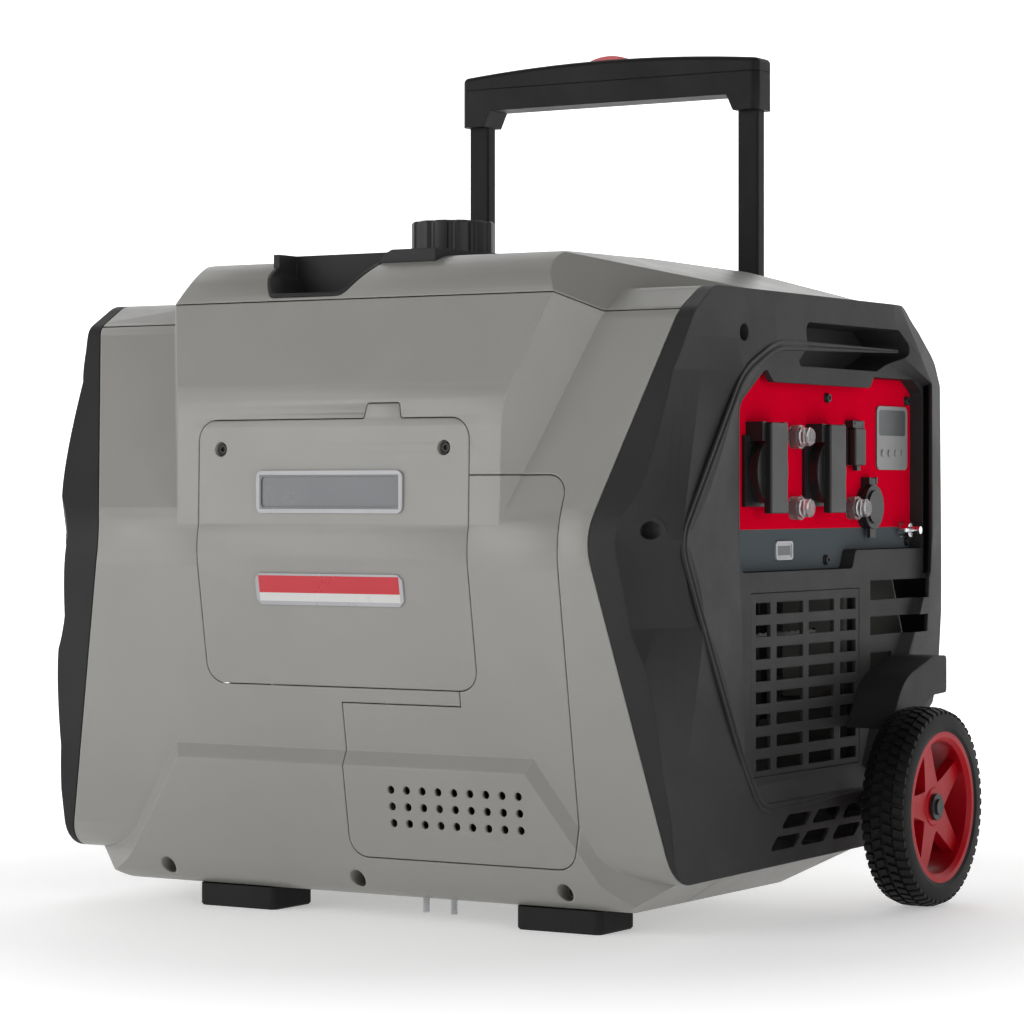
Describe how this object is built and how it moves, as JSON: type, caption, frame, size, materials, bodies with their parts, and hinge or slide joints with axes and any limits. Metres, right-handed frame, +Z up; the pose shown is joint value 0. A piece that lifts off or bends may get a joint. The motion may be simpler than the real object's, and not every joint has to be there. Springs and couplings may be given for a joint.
{
  "type": "inverter generator",
  "caption": "Enclosed suitcase inverter generator with a telescopic pull handle, transport wheels and a hooded control panel.",
  "frame": {"origin": "on the ground under the middle of the overall box", "axes": "+Z up, +X towards the control panel end, -Y the service side, +Y the wheel and handle side"},
  "size_m": [0.666, 0.4826, 0.673],
  "materials": {
    "grey_shell": "satin",
    "black_frame": "matte",
    "panel_red": "satin",
    "black_fitting": "satin",
    "clear_boot": "clear",
    "chrome_part": "polished",
    "brass_part": "satin",
    "screw_steel": "satin",
    "badge_silver": "satin",
    "label_grey": "satin",
    "tyre_rubber": "matte",
    "rim_red": "satin",
    "foot_rubber": "matte",
    "handle_tube": "satin",
    "grip_black": "matte",
    "button_red": "satin",
    "cast_alloy": "cast",
    "steel_part": "machined",
    "copper_part": "satin",
    "tank_paint": "gloss",
    "rope_fabric": "woven"
  },
  "bodies": {
    "root": {"base_tray": "grey_shell", "vibration_mounts": "foot_rubber", "feet": "foot_rubber", "service_side_cover": "grey_shell", "service_door": "grey_shell", "vent_cover": "grey_shell", "drain_tubes": "clear_boot", "wheel_side_cover": "grey_shell", "top_cover": "grey_shell", "top_inlay": "black_frame", "control_end_frame": "black_frame", "exhaust_end_frame": "black_frame", "front_grille": "black_frame", "exhaust_grille": "black_frame", "wheel_brackets": "black_frame", "axles": "screw_steel", "control_panel": "panel_red", "outlet_bodies": "black_fitting", "usb_socket": "black_fitting", "dc_socket": "black_fitting", "breaker_bodies": "clear_boot", "earth_terminal": "brass_part", "indicator_panel": "label_grey", "badge_plates": "badge_silver", "case_screws": "screw_steel", "handle_guides": "black_fitting", "fuel_tank": "tank_paint", "engine_block": "cast_alloy", "cylinder_head": "cast_alloy", "spark_plug": "steel_part", "carburettor": "cast_alloy", "air_filter_box": "black_fitting", "muffler": "steel_part", "stator": "copper_part", "recoil_housing": "tank_paint", "inverter_module": "cast_alloy"},
    "handle": {"handle_tubes": "handle_tube", "grip_lower": "grip_black", "grip_upper": "grip_black"},
    "release_button": {"release_button": "button_red"},
    "control_end_wheel": {"tyre_control_end": "tyre_rubber", "rim_control_end": "rim_red"},
    "exhaust_end_wheel": {"tyre_exhaust_end": "tyre_rubber", "rim_exhaust_end": "rim_red"},
    "fuel_cap": {"fuel_cap": "black_fitting"},
    "outlet_lid_near": {"outlet_lid_near": "black_fitting"},
    "outlet_lid_far": {"outlet_lid_far": "black_fitting"},
    "usb_cover": {"usb_cover": "black_fitting"},
    "dc_cap": {"dc_cap": "black_fitting"},
    "breaker_button_1": {"breaker_button_1": "clear_boot"},
    "breaker_button_2": {"breaker_button_2": "clear_boot"},
    "breaker_button_3": {"breaker_button_3": "clear_boot"},
    "wing_nut": {"wing_nut": "chrome_part"},
    "engine_shaft": {"crankshaft": "steel_part", "rotor": "steel_part", "cooling_fan": "tank_paint"},
    "recoil_grip": {"recoil_grip": "grip_black", "recoil_rope": "rope_fabric"},
    "recoil_pulley": {"recoil_pulley": "tank_paint"},
    "engine_dial": {"engine_dial": "black_fitting"}
  },
  "joints": [
    {"name": "handle_slide", "type": "slide", "parent": "root", "child": "handle", "axis": [0, 0, 1], "range_m": [-0.15, 0]},
    {"name": "release_press", "type": "slide", "parent": "handle", "child": "release_button", "axis": [0, 0, 1], "range_m": [-0.003, 0], "stiffness_N_per_m": 400},
    {"name": "control_wheel_spin", "type": "hinge", "parent": "root", "child": "control_end_wheel", "pos_m": [0, 0.0895, 0.0755], "axis": [1, 0, 0], "continuous": true},
    {"name": "exhaust_wheel_spin", "type": "hinge", "parent": "root", "child": "exhaust_end_wheel", "pos_m": [0, 0.0895, 0.0755], "axis": [1, 0, 0], "continuous": true},
    {"name": "fuel_cap_turn", "type": "hinge", "parent": "root", "child": "fuel_cap", "pos_m": [-0.051, 0.0025, 0.51], "axis": [0, 0, 1], "range_deg": [0, 120]},
    {"name": "outlet_lid_near_hinge", "type": "hinge", "parent": "root", "child": "outlet_lid_near", "pos_m": [0.258, -0.0515, 0.3607], "axis": [0, -1, 0], "range_deg": [0, 95], "stiffness_Nm_per_rad": 0.01},
    {"name": "outlet_lid_far_hinge", "type": "hinge", "parent": "root", "child": "outlet_lid_far", "pos_m": [0.258, 0.046, 0.3607], "axis": [0, -1, 0], "range_deg": [0, 95], "stiffness_Nm_per_rad": 0.01},
    {"name": "usb_cover_hinge", "type": "hinge", "parent": "root", "child": "usb_cover", "pos_m": [0.253, 0.1035, 0.3665], "axis": [0, -1, 0], "range_deg": [0, 95]},
    {"name": "dc_cap_hinge", "type": "hinge", "parent": "root", "child": "dc_cap", "pos_m": [0.2535, 0.129, 0.323], "axis": [0, -1, 0], "range_deg": [0, 95]},
    {"name": "breaker_1_press", "type": "slide", "parent": "root", "child": "breaker_button_1", "axis": [1, 0, 0], "range_m": [-0.003, 0]},
    {"name": "breaker_2_press", "type": "slide", "parent": "root", "child": "breaker_button_2", "axis": [1, 0, 0], "range_m": [-0.003, 0]},
    {"name": "breaker_3_press", "type": "slide", "parent": "root", "child": "breaker_button_3", "axis": [1, 0, 0], "range_m": [-0.003, 0]},
    {"name": "wing_nut_turn", "type": "hinge", "parent": "root", "child": "wing_nut", "pos_m": [0.255, 0.1933, 0.2834], "axis": [1, 0, 0], "range_deg": [-180, 180]},
    {"name": "engine_turn", "type": "hinge", "parent": "root", "child": "engine_shaft", "pos_m": [0, 0.01, 0.16], "axis": [1, 0, 0], "continuous": true},
    {"name": "recoil_pull", "type": "slide", "parent": "root", "child": "recoil_grip", "axis": [0, 1, 0], "range_m": [0, 0.5]},
    {"name": "recoil_pulley_turn", "type": "hinge", "parent": "root", "child": "recoil_pulley", "pos_m": [0.159, 0.01, 0.16], "axis": [-1, 0, 0], "range_deg": [0, 720]},
    {"name": "engine_dial_turn", "type": "hinge", "parent": "root", "child": "engine_dial", "pos_m": [0.06, 0.23, 0.33], "axis": [0, 1, 0], "range_deg": [0, 90]}
  ],
  "couplings": [
    {"joint": "recoil_pulley_turn", "follows": "recoil_pull", "rad_per_m": 25}
  ]
}
